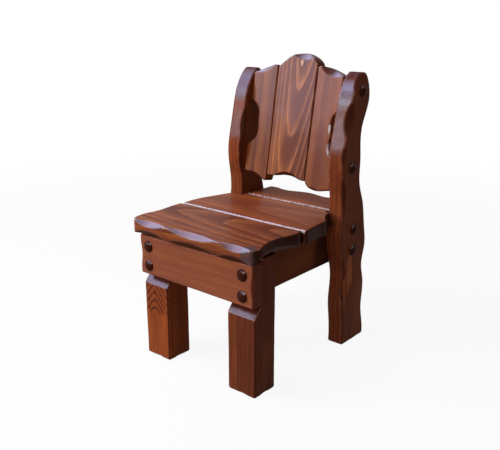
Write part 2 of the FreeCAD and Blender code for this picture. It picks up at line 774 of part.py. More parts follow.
def front_board():
    right = seat_edge(FRONT_RIGHT_SHARES, FRONT_Y, FRONT_BOARD_DEPTH, RIGHT)
    left = seat_edge(FRONT_LEFT_SHARES, FRONT_Y, FRONT_BOARD_DEPTH, LEFT)
    outline = [[left[0], right[0]], right, [right[-1], left[-1]], left[::-1]]
    board = plank(outline, Z_AXIS * SEAT_THICKNESS)
    for side, radius in ((LEFT, BOARD_LEFT_CORNER_RADIUS), (RIGHT, BOARD_RIGHT_CORNER_RADIUS)):
        uprights = [edge for edge in edges_along(board, Z_AXIS) if at(edge.CenterOfMass.y, FRONT_Y)]
        corner = max(uprights, key=lambda edge: edge.CenterOfMass.x * side)
        board = board.makeFillet(radius, [corner])
    board = eased_board(board)
    scoops = []
    for place_share, length_share in SEAT_SCOOP_SHARES:
        x = place_share * SEAT_WIDTH
        length = length_share * SEAT_WIDTH
        top = point(x, FRONT_Y, SEAT_HEIGHT)
        scoops.append(scoop(top, X_AXIS, point(0, -1, 1), length, SEAT_SCOOP_DEPTH))
        under = point(x, FRONT_Y, SEAT_UNDERSIDE)
        scoops.append(scoop(under, X_AXIS, point(0, -1, -1), length, SEAT_UNDER_SCOOP_DEPTH))
    middle_y = FRONT_Y + FRONT_BOARD_DEPTH / 2
    for side, inset_share in ((LEFT, LEFT_SIDE_SCOOP_SHARE), (RIGHT, RIGHT_SIDE_SCOOP_SHARE)):
        edge = point(side * (SEAT_WIDTH / 2 - inset_share * SEAT_EDGE_WAVE), middle_y, SEAT_HEIGHT)
        out = point(side, 0, 1)
        scoops.append(scoop(edge, Y_AXIS, out, SEAT_SIDE_SCOOP_LENGTH, SEAT_SIDE_SCOOP_DEPTH))
    under = point(SEAT_WIDTH / 2 - RIGHT_SIDE_SCOOP_SHARE * SEAT_EDGE_WAVE, middle_y, SEAT_UNDERSIDE)
    out = point(1, 0, -1)
    scoops.append(scoop(under, Y_AXIS, out, SEAT_SIDE_UNDER_SCOOP_LENGTH, SEAT_SIDE_UNDER_SCOOP_DEPTH))
    board = board.cut(scoops)
    fasteners = [fastener for side in (LEFT, RIGHT) for fastener in seat_fasteners(side)[:1]]
    return drilled(board, fasteners, [front_seat_dowel(side) for side in (LEFT, RIGHT)])


def rear_corner(shares, front, run, side):
    """Points of a rear corner of the middle board, from its side edge to the post's notch."""
    half = SEAT_WIDTH / 2
    step = half - NOTCH_X
    return [
        point(side * (half - inset_share * step), front + place_share * run, SEAT_UNDERSIDE)
        for place_share, inset_share in shares
    ]


def middle_board():
    front = MIDDLE_BOARD_FRONT_Y
    notch_y = post_front_beside_seat() - POST_NOTCH_CLEARANCE
    run = notch_y - front
    right = seat_edge(MIDDLE_RIGHT_SHARES, front, run, RIGHT)
    hollow = right[-1:] + rear_corner(RIGHT_CORNER_SHARES, front, run, RIGHT)
    left = seat_edge(MIDDLE_LEFT_SHARES, front, run, LEFT) + rear_corner(LEFT_CORNER_SHARES, front, run, LEFT)
    notch_right = point(NOTCH_X, notch_y, SEAT_UNDERSIDE)
    back_right = point(NOTCH_X, MIDDLE_BOARD_BACK_Y, SEAT_UNDERSIDE)
    back_left = point(-NOTCH_X, MIDDLE_BOARD_BACK_Y, SEAT_UNDERSIDE)
    notch_left = point(-NOTCH_X, notch_y, SEAT_UNDERSIDE)
    outline = [
        [left[0], right[0]],
        right,
        hollow,
        [hollow[-1], notch_right],
        [notch_right, back_right],
        [back_right, back_left],
        [back_left, notch_left],
        [notch_left, left[-1]],
        left[::-1],
    ]
    board = eased_board(plank(outline, Z_AXIS * SEAT_THICKNESS))
    fasteners = [fastener for side in (LEFT, RIGHT) for fastener in seat_fasteners(side)[1:]]
    return drilled(board, fasteners)


def rear_board():
    back = [
        point((2 * place_share - 1) * NOTCH_X, BACK_Y - drop_share * SEAT_EDGE_WAVE, SEAT_UNDERSIDE)
        for place_share, drop_share in REAR_EDGE_SHARES
    ]
    front_left = point(-NOTCH_X, REAR_BOARD_FRONT_Y, SEAT_UNDERSIDE)
    front_right = point(NOTCH_X, REAR_BOARD_FRONT_Y, SEAT_UNDERSIDE)
    outline = [[front_left, front_right], [front_right, back[-1]], back[::-1], [back[0], front_left]]
    board = eased_board(plank(outline, Z_AXIS * SEAT_THICKNESS))
    return drilled(board, dowels=[rear_seat_dowel(side) for side in (LEFT, RIGHT)])


def seat_cleat(side):
    """Batten on the inner face of a side rail, which holds the seat boards from below."""
    low = point(CLEAT_INNER_X, CLEAT_FRONT_Y, CLEAT_BOTTOM)
    cleat = box(low, point(RAIL_INNER_X, CLEAT_BACK_Y, SEAT_UNDERSIDE))
    if side == LEFT:
        cleat = mirrored(cleat)
    return drilled(cleat, cleat_fasteners(side) + seat_fasteners(side))


# The back


def eased_slat(slat):
    """A slat with its corners and the edges of its two faces rounded over."""
    return eased(slat, Y_AXIS, (0, SLAT_THICKNESS), SLAT_CORNER_RADIUS, SLAT_EDGE_ROUND)


def edge_scoop(edge, length, depth):
    """Scoop off the front corner of a slat, at the middle point of its top or bottom edge."""
    middle = len(edge) // 2
    along = edge[middle + 1] - edge[middle - 1]
    away = along.cross(Y_AXIS).normalize()
    return scoop(edge[middle], along, away - Y_AXIS, length, depth)


def side_slat(side):
    """Outer slat with a hewn waist in the edge beside the post."""
    height = SIDE_SLAT_HEIGHT

    def place(across_share, up_share):
        return point(SIDE_SLAT_INNER_X + across_share * SIDE_SLAT_WIDTH, 0, up_share * height)

    top = [place(*shares) for shares in SIDE_TOP_SHARES]
    bottom = [place(*shares) for shares in (LEFT_BOTTOM_SHARES if side == LEFT else RIGHT_BOTTOM_SHARES)]
    waist = [
        point(SIDE_SLAT_OUTER_X - in_share * SIDE_SLAT_WIDTH, 0, up_share * height)
        for up_share, in_share in (LEFT_WAIST_SHARES if side == LEFT else RIGHT_WAIST_SHARES)
    ]
    outline = [
        top,
        [top[-1], waist[0]],
        waist,
        [waist[-1], bottom[0]],
        bottom,
        [bottom[-1], top[0]],
    ]
    slat = eased_slat(plank(outline, Y_AXIS * SLAT_THICKNESS))
    depth_share = LEFT_TOP_SCOOP_SHARE if side == LEFT else RIGHT_TOP_SCOOP_SHARE
    top_scoop = edge_scoop(top, SIDE_TOP_SCOOP_LENGTH, depth_share * SIDE_TOP_SCOOP_DEPTH)
    bottom_scoop = edge_scoop(bottom, SIDE_BOTTOM_SCOOP_LENGTH, SIDE_BOTTOM_SCOOP_DEPTH)
    slat = slat.cut([top_scoop, bottom_scoop])
    if side == LEFT:
        slat = mirrored(slat)
    return drilled(lean_back(slat), slat_fasteners(side), slat_dowels(side))


def centre_slat():
    """Middle slat with an arched top and a hollowed foot."""

    def place(x_share, up_share):
        return point(x_share * CENTRE_HALF, 0, up_share * SLAT_HEIGHT)

    top = [place(*shares) for shares in CENTRE_TOP_SHARES]
    bottom = [place(*shares) for shares in CENTRE_BOTTOM_SHARES]
    outline = [top, [top[-1], bottom[0]], bottom, [bottom[-1], top[0]]]
    slat = eased_slat(plank(outline, Y_AXIS * SLAT_THICKNESS))
    top_scoop = edge_scoop(top, CENTRE_TOP_SCOOP_LENGTH, CENTRE_TOP_SCOOP_DEPTH)
    arch_scoop = edge_scoop(bottom, ARCH_SCOOP_LENGTH, ARCH_SCOOP_DEPTH)
    slat = slat.cut([top_scoop, arch_scoop])
    return drilled(lean_back(slat), dowels=slat_dowels(LEFT) + slat_dowels(RIGHT))


# The assembly


def group(solids):
    return Part.makeCompound(solids)


def pieces():
    """Every node of the chair, by name."""
    sides = ((LEFT, "left"), (RIGHT, "right"))
    post_fasteners = {side: rail_fasteners(side) + slat_fasteners(side) for side in (LEFT, RIGHT)}
    both = (LEFT, RIGHT)
    found = {
        "front_apron": front_apron(),
        "rear_rail": rear_rail(),
        "seat_board_front": front_board(),
        "seat_board_middle": middle_board(),
        "seat_board_rear": rear_board(),
        "back_slat_centre": centre_slat(),
    }
    for side, name in sides:
        found["front_leg_" + name] = front_leg(side)
        found["back_post_" + name] = back_post(side)
        found["side_rail_" + name] = side_rail(side)
        found["back_slat_" + name] = side_slat(side)
        found["seat_cleat_" + name] = seat_cleat(side)
        found["post_plugs_" + name] = group([fastener.plug() for fastener in post_fasteners[side]])
    found["apron_plugs"] = group([fastener.plug() for fastener in apron_fasteners()])
    found["apron_screws"] = group([fastener.screw() for fastener in apron_fasteners()])
    found["rail_screws"] = group([fastener.screw() for side in both for fastener in rail_fasteners(side)])
    found["slat_screws"] = group([fastener.screw() for side in both for fastener in slat_fasteners(side)])
    found["cleat_screws"] = group([fastener.screw() for side in both for fastener in cleat_fasteners(side)])
    found["seat_screws"] = group([fastener.screw() for side in both for fastener in seat_fasteners(side)])
    found["rail_dowels"] = group([dowel.solid() for side in both for dowel in rail_dowels(side)])
    found["slat_dowels"] = group([dowel.solid() for side in both for dowel in slat_dowels(side)])
    found["front_seat_dowels"] = group([front_seat_dowel(side).solid() for side in both])
    found["rear_seat_dowels"] = group([rear_seat_dowel(side).solid() for side in both])
    return found


def main():
    os.makedirs("parts", exist_ok=True)
    for name, shape in sorted(pieces().items()):
        solids = shape.Solids
        if not solids or not shape.isValid():
            raise ValueError(name + " is not a sound solid")
        kept = solids[0] if len(solids) == 1 else Part.makeCompound(solids)
        kept.exportStep(os.path.join("parts", name + ".step"))
        print(f"{name}: {len(solids)} solid(s), {kept.Volume:.0f} cubic mm")


if __name__ == "__main__":
    main()
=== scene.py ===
"""Dresses the rustic child's chair: hewn planks of stained pine, dark plugs and a plain pale studio."""

import logging
import math
from dataclasses import dataclass, field
from enum import Enum
from typing import Any

import bpy
import numpy as np
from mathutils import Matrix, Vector


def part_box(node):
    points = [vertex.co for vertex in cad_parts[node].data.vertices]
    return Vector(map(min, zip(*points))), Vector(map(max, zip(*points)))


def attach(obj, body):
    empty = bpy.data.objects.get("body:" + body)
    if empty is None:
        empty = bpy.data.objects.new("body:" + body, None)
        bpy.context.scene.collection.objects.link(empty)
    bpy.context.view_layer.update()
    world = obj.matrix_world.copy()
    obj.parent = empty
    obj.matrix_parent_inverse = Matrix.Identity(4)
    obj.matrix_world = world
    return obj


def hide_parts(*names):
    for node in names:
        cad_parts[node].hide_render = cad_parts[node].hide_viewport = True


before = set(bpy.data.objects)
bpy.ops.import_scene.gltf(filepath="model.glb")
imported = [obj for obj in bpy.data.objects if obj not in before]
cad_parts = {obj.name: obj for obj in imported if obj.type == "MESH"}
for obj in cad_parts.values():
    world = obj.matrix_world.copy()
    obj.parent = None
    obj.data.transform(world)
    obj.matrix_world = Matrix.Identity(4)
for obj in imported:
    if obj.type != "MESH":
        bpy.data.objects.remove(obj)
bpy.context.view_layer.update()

LOG = logging.getLogger("chair")
BODY = "root"

# The marks that a plank's mesh carries at its points, for its finish to read.
ARRIS = "arris"
HEWN = "hewn"
LEE = "lee"
# Painted shade: hewn facets that look to the right, undersides and the gaps before boards.
PAINTED_SHADE = "painted_shade"

Colour = tuple[float, float, float]
Place = tuple[float, float, float]
Span = tuple[float, float]

WHITE: Colour = (1.0, 1.0, 1.0)


class Side(Enum):
    """The two sides of the chair, as someone who looks at its front sees them."""

    LEFT = "left"
    RIGHT = "right"


class Row(Enum):
    """The seat boards, from the front."""

    FRONT = "front"
    MIDDLE = "middle"
    REAR = "rear"


class Seen(Enum):
    """What a lamp does: it lights the wood, or shows as an image in the varnish."""

    LIGHT = "light"
    MIRROR = "mirror"


class Value:
    """A number that a shader works out: operators on it add Math nodes."""

    def __init__(self, graph: "ShaderGraph", socket: bpy.types.NodeSocket) -> None:
        """Keeps the socket that gives the number.

        Args:
            graph: The shader that the socket belongs to.
            socket: The output socket of the number.
        """
        self.graph = graph
        self.socket = socket

    def __add__(self, other: Any) -> "Value":
        """Adds."""
        return self.graph.math("ADD", self, other)

    def __radd__(self, other: Any) -> "Value":
        """Adds, reflected."""
        return self.graph.math("ADD", other, self)

    def __sub__(self, other: Any) -> "Value":
        """Subtracts."""
        return self.graph.math("SUBTRACT", self, other)

    def __rsub__(self, other: Any) -> "Value":
        """Subtracts, reflected."""
        return self.graph.math("SUBTRACT", other, self)

    def __mul__(self, other: Any) -> "Value":
        """Multiplies."""
        return self.graph.math("MULTIPLY", self, other)

    def __rmul__(self, other: Any) -> "Value":
        """Multiplies, reflected."""
        return self.graph.math("MULTIPLY", other, self)

    def __truediv__(self, other: Any) -> "Value":
        """Divides."""
        return self.graph.math("DIVIDE", self, other)

    def __rtruediv__(self, other: Any) -> "Value":
        """Divides, reflected."""
        return self.graph.math("DIVIDE", other, self)

    def __pow__(self, other: Any) -> "Value":
        """Raises to a power."""
        return self.graph.math("POWER", self, other)

    def __rpow__(self, other: Any) -> "Value":
        """Raises to a power, reflected."""
        return self.graph.math("POWER", other, self)

    def fraction(self) -> "Value":
        """What is left after the whole number is taken off."""
        return self.graph.math("FRACT", self)

    def root(self) -> "Value":
        """The square root."""
        return self.graph.math("SQRT", self)

    def size(self) -> "Value":
        """The absolute value."""
        return self.graph.math("ABSOLUTE", self)

    def larger(self, other: Any) -> "Value":
        """The larger of two numbers."""
        return self.graph.math("MAXIMUM", self, other)

    def ramp(self, low: float, high: float) -> "Value":
        """A smooth step from 0 at low to 1 at high, which may lie below low.

        Args:
            low: The number that gives 0.
            high: The number that gives 1.

        Returns:
            The step, from 0 to 1.
        """
        rising = high > low
        made = self.graph.node(
            "ShaderNodeMapRange",
            {"interpolation_type": "SMOOTHSTEP", "clamp": True},
            {
                "Value": self,
                "From Min": low if rising else high,
                "From Max": high if rising else low,
                "To Min": 0.0 if rising else 1.0,
                "To Max": 1.0 if rising else 0.0,
            },
        )
        return Value(self.graph, made.outputs["Result"])


class ShaderGraph:
    """The node tree of one material or world, written from code."""

    noise_roughness: float = 0.55

    def __init__(self, owner: bpy.types.Material | bpy.types.World) -> None:
        """Empties the owner's node tree.

        Args:
            owner: The material or world.
        """
        owner.use_nodes = True
        self.owner = owner
        self.tree = owner.node_tree
        self.tree.nodes.clear()

    def node(self, kind: str, settings: dict[str, Any], inputs: dict[Any, Any]) -> bpy.types.Node:
        """Adds one node.

        Args:
            kind: The node's type.
            settings: Its own settings, which are set first.
            inputs: The values or links of its sockets, by name or number.

        Returns:
            The node.
        """
        made = self.tree.nodes.new(kind)
        for name, value in settings.items():
            setattr(made, name, value)
        for name, value in inputs.items():
            socket = made.inputs[name]
            if isinstance(value, Value):
                self.tree.links.new(value.socket, socket)
            elif isinstance(value, bpy.types.NodeSocket):
                self.tree.links.new(value, socket)
            else:
                socket.default_value = value
        return made

    def math(self, operation: str, first: Any, second: Any = 0.0) -> Value:
        """Adds a Math node on two values."""
        made = self.node("ShaderNodeMath", {"operation": operation}, {0: first, 1: second})
        return Value(self, made.outputs[0])

    def vector_math(self, operation: str, inputs: dict[int, Any]) -> bpy.types.Node:
        """Adds a Vector Math node."""
        return self.node("ShaderNodeVectorMath", {"operation": operation}, inputs)

    def place(self) -> bpy.types.NodeSocket:
        """The surface point in the chair's own frame, in metres."""
        return self.node("ShaderNodeTexCoord", {}, {}).outputs["Object"]

    def local(self, shift: dict[str, Any]) -> bpy.types.NodeSocket:
        """The surface point in a moved, turned or stretched frame of its own."""
        made = self.node("ShaderNodeMapping", {"vector_type": "TEXTURE"}, {"Vector": self.place(), **shift})
        return made.outputs["Vector"]

    def parts(self, vector: bpy.types.NodeSocket, axes: str = "XYZ") -> list[Value]:
        """The parts of a vector along the axes that are named."""
        split = self.node("ShaderNodeSeparateXYZ", {}, {"Vector": vector})
        return [Value(self, split.outputs[axis]) for axis in axes]

    def attribute(self, name: str) -> Value:
        """A number that the mesh carries at its points."""
        made = self.node("ShaderNodeAttribute", {"attribute_name": name}, {})
        return Value(self, made.outputs["Fac"])

    def facing(self, direction: Place) -> Value:
        """How far the surface looks in a direction: about 1 towards it, and -1 away from it.

        Args:
            direction: The direction, about 1 long.

        Returns:
            How far it looks there.
        """
        normal = self.node("ShaderNodeNewGeometry", {}, {}).outputs["Normal"]
        made = self.vector_math("DOT_PRODUCT", {0: normal, 1: direction})
        return Value(self, made.outputs["Value"])

    def noise(self, vector: bpy.types.NodeSocket, scale: Place, detail: float = 2.0) -> Value:
        """Soft noise from 0 to 1 on a stretched vector.

        Args:
            vector: The point that the noise is read at.
            scale: How often it changes along each axis, per metre.
            detail: How many finer layers it has.

        Returns:
            The noise.
        """
        stretched = self.vector_math("MULTIPLY", {0: vector, 1: scale}).outputs[0]
        made = self.node(
            "ShaderNodeTexNoise",
            {"noise_dimensions": "3D"},
            {"Vector": stretched, "Scale": 1.0, "Detail": detail, "Roughness": self.noise_roughness},
        )
        return Value(self, made.outputs["Fac"])

    def mix(self, factor: Any, first: Any, second: Any) -> bpy.types.NodeSocket:
        """Mixes two colours.

        Args:
            factor: How much of the second there is.
            first: A colour, or the socket of one.
            second: A colour, or the socket of one.

        Returns:
            The socket of the mixed colour.
        """
        made = self.node(
            "ShaderNodeMix",
            {"data_type": "RGBA", "blend_type": "MIX", "clamp_factor": True},
            {0: factor, 6: rgba(first), 7: rgba(second)},
        )
        return made.outputs[2]

    def bump(self, height: Value, depth: float, strength: float) -> bpy.types.NodeSocket:
        """The surface's normal over a fine relief.

        Args:
            height: The relief, from 0 to 1.
            depth: How deep it is, in metres.
            strength: How much of it shows.

        Returns:
            The socket of the normal.
        """
        made = self.node("ShaderNodeBump", {}, {"Strength": strength, "Distance": depth, "Height": height})
        return made.outputs["Normal"]

    def surface(self, inputs: dict[str, Any]) -> bpy.types.Material:
        """Ends a material with one shader for all of its surface."""
        shader = self.node("ShaderNodeBsdfPrincipled", {}, inputs)
        return self.finish(shader.outputs["BSDF"])

    def finish(self, shader: bpy.types.NodeSocket) -> Any:
        """Links the last shader to the output.

        Args:
            shader: The socket of the shader.

        Returns:
            The material or world.
        """
        kind = "World" if isinstance(self.owner, bpy.types.World) else "Material"
        self.node("ShaderNodeOutput" + kind, {}, {"Surface": shader})
        return self.owner


def new_material(name: str) -> ShaderGraph:
    """The empty graph of a new material."""
    return ShaderGraph(bpy.data.materials.new(name))


def rgba(colour: Any) -> Any:
    """A colour with an alpha of 1, or the socket as it is."""
    return (*colour, 1.0) if isinstance(colour, tuple) else colour


@dataclass(frozen=True)
class Spot:
    """A ragged spot of another colour on a plank: a knot, a chip, a short flame, painted shade or a painted
    glint.
    """

    middle: Place
    half_sizes: Place
    colour: Colour
    share: float
    ragged_scale: Place = (1.1, 1.1, 1.1)
    raggedness: float = 0.9
    rim: Span = (1.5, 1.1)

    def cover(self, graph: ShaderGraph) -> Value:
        """How far the spot covers a point: its share well inside, and 0 outside.

        Args:
            graph: The shader of the plank.

        Returns:
            The cover, from 0 to the spot's share.
        """
        local = graph.local({"Location": self.middle, "Scale": self.half_sizes})
        reach = Value(graph, graph.vector_math("LENGTH", {0: local}).outputs["Value"])
        ragged = graph.noise(local, self.ragged_scale, detail=1.0) * self.raggedness
        return (reach + ragged).ramp(*self.rim) * self.share


@dataclass(frozen=True)
class StainedPine:
    """Pine under dark stain and satin varnish: the hard late wood stays lighter than the soft early wood."""

    name: str
    grain: Place
    pith: Place
    # The years' rings: their width, how they stray and how they show.
    ring: float = 0.006
    taper: float = 0.0
    phase: float = 0.0
    wander: float = 0.006
    waver: float = 0.16
    sharpness: float = 2.2
    contrast: float = 0.6
    early: Colour = (0.165, 0.036, 0.0135)
    late: Colour = (0.53, 0.165, 0.044)
    spots: tuple[Spot, ...] = ()
    # The stain, whose colour the painted shade also uses, and how strongly it shows in each place.
    stain: Colour = (0.065, 0.012, 0.005)
    streaks: float = 0.3
    fibre_stain: float = 0.35
    blotch_stain: float = 0.35
    blotch_light: float = 0.2
    end_stain: float = 0.95
    hewn_stain: float = 0.65
    painted_shade_strength: float = 0.9
    lee_painted_shade: float = 0.0
    # The pale arrises: worn wood, and on some planks painted highlight.
    pale: Colour = (0.5, 0.36, 0.3)
    wear: float = 0.3
    rub_start: float = 0.7
    wear_and_highlight_width: float = 0.16
    wear_and_highlight_by_chance: float = 0.55
    wear_and_highlight_by_arris: float = 0.6
    # The varnish and the feel of the wood under it.
    gloss: float = 0.01
    hewn_gloss: float = 1.0
    arris_gloss: float = 0.5
    coat_ior: float = 1.5
    coat_roughness: float = 0.2
    specular: float = 0.03
    roughness: float = 0.46
    fibre_roughness: float = 0.14
    late_smoothness: float = 0.06
    bump_depth: float = 0.0005
    bump_strength: float = 0.5
    late_relief: float = 0.5
    fibre_relief: float = 0.5
    # How often each pattern changes, per metre, twice across the log and once along it.
    drift_scale: Place = (22.0, 22.0, 4.0)
    waver_scale: Place = (120.0, 120.0, 9.0)
    fading_scale: Place = (70.0, 70.0, 9.0)
    fibre_scale: Place = (950.0, 950.0, 16.0)
    streak_scale: Place = (230.0, 230.0, 5.0)
    blotch_scale: Place = (15.0, 15.0, 3.5)
    wear_and_highlight_scale: Place = (160.0, 160.0, 160.0)
    # Where each pattern begins to show, and where it shows in full.
    ring_end: Span = (1.0, 0.88)
    fading_span: Span = (0.2, 0.6)
    fading_share: float = 0.5
    fibre_span: Span = (0.35, 0.7)
    streak_span: Span = (0.45, 0.7)
    dark_blotch_span: Span = (0.5, 0.75)
    light_blotch_span: Span = (0.5, 0.3)
    end_span: Span = (0.35, 0.8)

    def material(self) -> bpy.types.Material:
        """Builds the wood around its pith.

        Returns:
            The material.
        """
        graph = new_material(self.name)
        turn = Vector(self.grain).to_track_quat("Z", "Y").to_euler()
        log = graph.local({"Location": self.pith, "Rotation": turn})
        late = self.late_wood(graph, log)
        fibre = graph.noise(log, self.fibre_scale, detail=3.0)
        arris, hewn, lee, painted_shade = (graph.attribute(name) for name in (ARRIS, HEWN, LEE, PAINTED_SHADE))
        # Hewn facets take more stain; painted shade darkens right-facing facets, undersides and gaps.
        stain_and_painted_shade = hewn * self.hewn_stain + painted_shade * self.painted_shade_strength + lee * self.lee_painted_shade
        wear_and_highlight_chance = graph.noise(graph.place(), self.wear_and_highlight_scale) * self.wear_and_highlight_by_chance + arris * self.wear_and_highlight_by_arris
        wear_and_highlight_share = wear_and_highlight_chance.ramp(self.rub_start, self.rub_start + self.wear_and_highlight_width) * self.wear
        colour = graph.mix(stain_and_painted_shade, self.sound_wood(graph, log, late, fibre), self.stain)
        colour = graph.mix(wear_and_highlight_share, colour, self.pale)
        for spot in self.spots:
            colour = graph.mix(spot.cover(graph), colour, spot.colour)
        smooth = (hewn * self.hewn_gloss).larger(arris * self.arris_gloss)
        relief = late * self.late_relief + fibre * self.fibre_relief
        return graph.surface(
            {
                "Base Color": colour,
                "Roughness": fibre * self.fibre_roughness + self.roughness - late * self.late_smoothness,
                "Specular IOR Level": self.specular,
                "Coat Weight": (smooth + self.gloss) * (1.0 - lee),
                "Coat Roughness": self.coat_roughness,
                "Coat IOR": self.coat_ior,
                "Normal": graph.bump(relief, self.bump_depth, self.bump_strength),
            }
        )

    def late_wood(self, graph: ShaderGraph, log: bpy.types.NodeSocket) -> Value:
        """How much late wood there is: it builds up through each year's ring and stops short.

        Args:
            graph: The shader.
            log: The point in the log's own frame, with Z along the pith.

        Returns:
            The share of late wood, from 0 to 1.
        """
        across, through, along = graph.parts(log)
        radius = (across * across + through * through).root() - along * self.taper
        drift = graph.noise(log, self.drift_scale, detail=1.0) - 0.5
        waver = graph.noise(log, self.waver_scale) - 0.5
        years = (radius + drift * self.wander + waver * (self.waver * self.ring)) / self.ring
        season = (years.larger(0.0) + self.phase).fraction()
        clear = graph.noise(log, self.fading_scale, detail=1.0).ramp(*self.fading_span)
        strength = clear * self.fading_share + (1.0 - self.fading_share)
        return season ** self.sharpness * season.ramp(*self.ring_end) * strength

    def sound_wood(
        self, graph: ShaderGraph, log: bpy.types.NodeSocket, late: Value, fibre: Value
    ) -> bpy.types.NodeSocket:
        """The colour of the stained wood before tools and hands come to it.

        Args:
            graph: The shader.
            log: The point in the log's own frame.
            late: The share of late wood.
            fibre: The fine fibres.

        Returns:
            The socket of the colour.
        """
        streak = graph.noise(log, self.streak_scale)
        blotch = graph.noise(log, self.blotch_scale)
        end_grain = graph.facing(self.grain).size()
        layers = (
            (late * self.contrast, self.late),
            (streak.ramp(*self.streak_span) * self.streaks, self.stain),
            (fibre.ramp(*self.fibre_span) * self.fibre_stain, self.stain),
            (blotch.ramp(*self.dark_blotch_span) * self.blotch_stain, self.stain),
            (blotch.ramp(*self.light_blotch_span) * self.blotch_light, self.late),
            (end_grain.ramp(*self.end_span) * self.end_stain, self.stain),
        )
        colour = self.early
        for share, laid_over in layers:
            colour = graph.mix(share, colour, laid_over)
        return colour


@dataclass(frozen=True)
class FiguredPine(StainedPine):
    """Pine whose flames show only high on the front, over plain wood that is darker round the corner."""

    front: float = 0.0
    corner: float = 0.003
    flame_foot: Span = (0.108, 0.116)
    flame_span: Span = (0.12, 0.55)
    flame_share: float = 0.72
    ragged_scale: Place = (90.0, 90.0, 30.0)
    ragged_rise: float = 0.03
    plain_scale: Place = (95.0, 95.0, 5.0)
    plain_share: float = 0.9
    plain_least: float = 0.05
    front_light: float = 0.25

    def late_wood(self, graph: ShaderGraph, log: bpy.types.NodeSocket) -> Value:
        """The flames of the log on the upper front, and soft upright streaks elsewhere.

        Args:
            graph: The shader.
            log: The point in the log's own frame.

        Returns:
            The share of late wood, from 0 to 1.
        """
        depth, height = graph.parts(graph.place(), "YZ")
        facing = depth.ramp(self.front + 2 * self.corner, self.front + self.corner)
        ragged = graph.noise(log, self.ragged_scale, detail=1.0) * self.ragged_rise
        shown = facing * (height + ragged).ramp(*self.flame_foot)
        streaks = graph.noise(log, self.plain_scale) * self.plain_share
        plain = facing * self.front_light + self.plain_least + streaks
        flames = super().late_wood(graph, log).ramp(*self.flame_span)
        return flames * shown * self.flame_share + plain * (1.0 - shown)


@dataclass(frozen=True)
class TurnedWood:
    """Plain turned wood with fine streaks, for plugs and dowels."""

    name: str
    base: Colour
    streak: Colour
    roughness: float
    glint: float
    bright_side: Place = (0.4, -0.5, 0.77)
    glint_span: Span = (0.86, 0.95)
    streak_scale: Place = (240.0, 240.0, 700.0)
    streak_span: Span = (0.4, 0.7)
    streak_share: float = 0.6
    cloud_scale: Place = (70.0, 70.0, 70.0)
    cloud_share: float = 0.2
    cloud_roughness: float = 0.12
    coat_roughness: float = 0.1
    specular: float = 0.02
    bump_depth: float = 0.0003
    bump_strength: float = 0.4

    def material(self) -> bpy.types.Material:
        """Builds the turned wood, with a glint on the part that looks up and forward.

        Returns:
            The material.
        """
        graph = new_material(self.name)
        place = graph.place()
        streak = graph.noise(place, self.streak_scale, detail=3.0)
        cloud = graph.noise(place, self.cloud_scale)
        share = streak.ramp(*self.streak_span) * self.streak_share + cloud * self.cloud_share
        return graph.surface(
            {
                "Base Color": graph.mix(share, self.base, self.streak),
                "Roughness": cloud * self.cloud_roughness + self.roughness,
                "Specular IOR Level": self.specular,
                "Coat Weight": graph.facing(self.bright_side).ramp(*self.glint_span) * self.glint,
                "Coat Roughness": self.coat_roughness,
                "Normal": graph.bump(streak, self.bump_depth, self.bump_strength),
            }
        )


@dataclass(frozen=True)
class ScrewSteel:
    """Zinc-plated steel, dulled in a fine grain."""

    name: str = "screw_steel"
    base: Colour = (0.55, 0.54, 0.5)
    dull: Colour = (0.38, 0.37, 0.34)
    grime_scale: Place = (300.0, 300.0, 300.0)
    roughness: float = 0.28
    grime_roughness: float = 0.2

    def material(self) -> bpy.types.Material:
        """Builds the plated steel.

        Returns:
            The material.
        """
        graph = new_material(self.name)
        grime = graph.noise(graph.place(), self.grime_scale, detail=3.0)
        return graph.surface(
            {
                "Base Color": graph.mix(grime, self.base, self.dull),
                "Metallic": 1.0,
                "Roughness": grime * self.grime_roughness + self.roughness,
            }
        )


def make_only_active(piece: bpy.types.Object) -> None:
    """Selects one object alone and makes it the active one.

    Args:
        piece: The object.
    """
    bpy.ops.object.select_all(action="DESELECT")
    piece.select_set(True)
    bpy.context.view_layer.objects.active = piece


def read_rows(items: Any, name: str, width: int, kind: type = float) -> np.ndarray:
    """Reads one property of all the points or edges of a mesh.

    Args:
        items: The points or edges.
        name: The property.
        width: How many numbers each of them has.
        kind: The type of the numbers.

    Returns:
        The numbers, with one row for each point or edge.
    """
    numbers = np.empty(len(items) * width, dtype=kind)
    items.foreach_get(name, numbers)
    return numbers.reshape(-1, width)


def mean_of_neighbours(values: np.ndarray, edges: np.ndarray) -> np.ndarray:
    """The mean of each point's neighbours along the edges of a mesh.

    Args:
        values: One number or one row for each point.
        edges: The two points of each edge.

    Returns:
        The means, in the order of the points.
    """
    total = np.zeros_like(values)
    np.add.at(total, edges[:, 0], values[edges[:, 1]])
    np.add.at(total, edges[:, 1], values[edges[:, 0]])
    reach = np.bincount(edges.ravel(), minlength=len(values)).astype(float)
    return total / np.maximum(reach, 1.0).reshape((-1,) + (1,) * (values.ndim - 1))


def step(values: np.ndarray, span: Span) -> np.ndarray:
    """A straight step from 0 at a span's start to 1 at its end, which may lie below its start.

    Args:
        values: The numbers.
        span: The numbers that give 0 and 1.

    Returns:
        The steps, from 0 to 1.
    """
    start, full = span
    return np.clip((values - start) / (full - start), 0.0, 1.0)


@dataclass(frozen=True)
class Chamfer:
    """A corner that one stroke of the axe takes off."""

    point: Place
    outward: Place


